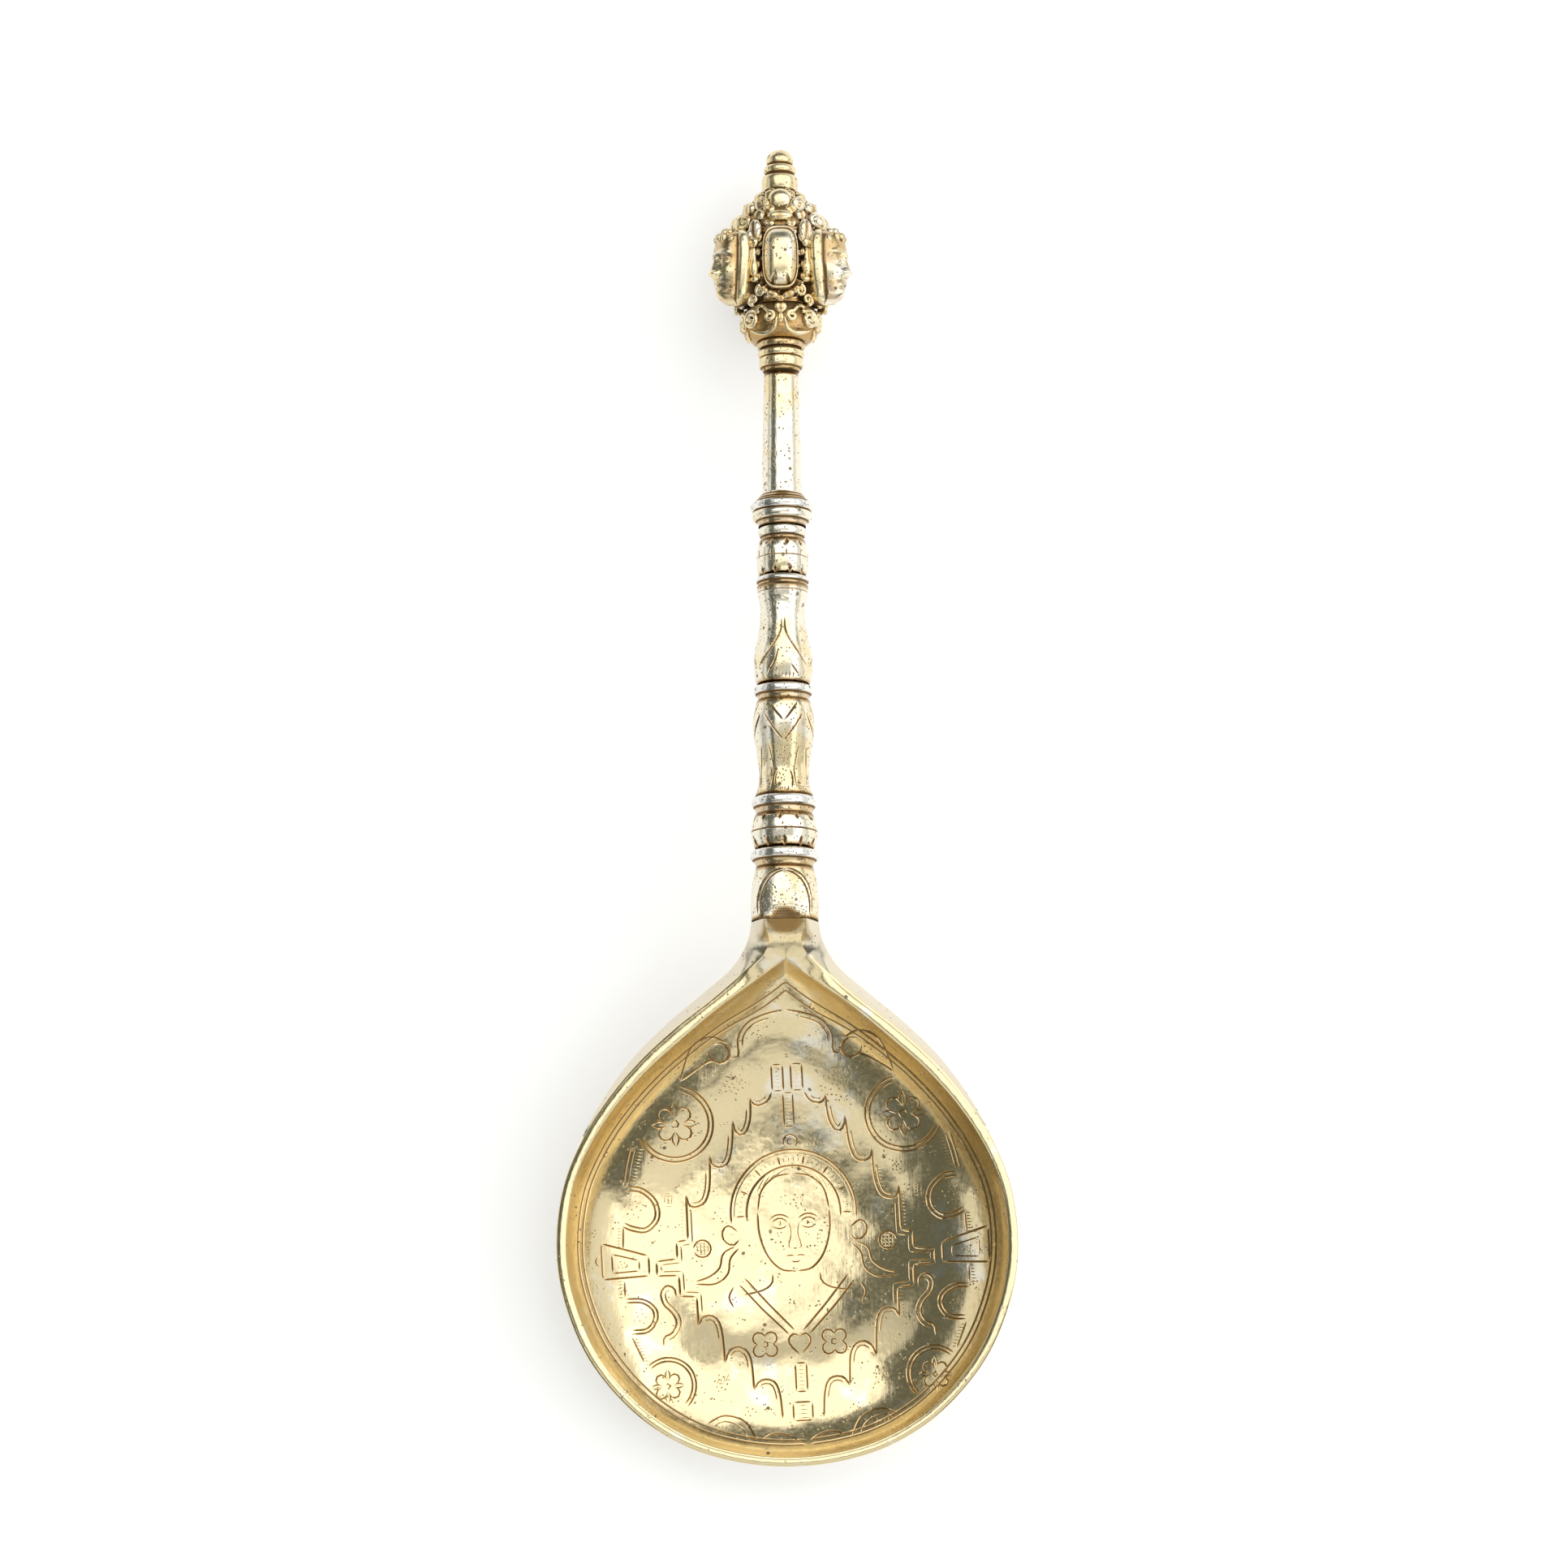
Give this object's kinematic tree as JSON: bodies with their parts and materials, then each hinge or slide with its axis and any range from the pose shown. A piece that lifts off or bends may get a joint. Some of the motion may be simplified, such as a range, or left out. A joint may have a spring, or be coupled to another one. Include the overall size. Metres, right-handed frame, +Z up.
{
  "type": "mask spoon",
  "caption": "Silver-gilt spoon with a hammered, engraved fig-shaped bowl, a turned baluster stem with wire collars, a plain shaft and a cast mask finial.",
  "frame": {"origin": "on the table, under the middle of the spoon's bounding box", "axes": "+Y from the tip of the bowl to the top of the finial, +Z up out of the bowl, +X across; the spoon lies at rest on the facet under the bowl and on the back mask"},
  "size_m": [0.0572, 0.165, 0.0244],
  "materials": {
    "gilt_bowl": "hammered silver with worn gilding, engraved, satin polish with tarnish in the cuts",
    "gilt_stem": "turned and chased silver with pale worn gilding, tarnish in the cuts",
    "worn_silver": "silver wire rubbed bare of its gilding",
    "gilt_cast": "cast silver with worn gilding, brown tarnish in the hollows"
  },
  "bodies": {
    "root": {"bowl": "gilt_bowl", "keel": "gilt_bowl", "stem_root": "gilt_stem", "lower_knop": "gilt_stem", "lower_baluster": "gilt_stem", "upper_baluster": "gilt_stem", "upper_knop": "gilt_stem", "stem_flange": "gilt_stem", "shaft": "gilt_stem", "capital": "gilt_stem", "root_collar": "worn_silver", "lower_collar": "worn_silver", "middle_collar": "worn_silver", "upper_collar": "worn_silver", "neck_ring": "worn_silver", "scroll_cup": "gilt_cast", "finial_core": "gilt_cast", "left_mask": "gilt_cast", "right_mask": "gilt_cast", "back_mask": "gilt_cast", "front_cartouche": "gilt_cast", "left_cartouche": "gilt_cast", "right_cartouche": "gilt_cast", "drop_ornaments": "gilt_cast", "crown": "gilt_cast", "top_knop": "gilt_cast"}
  },
  "joints": []
}
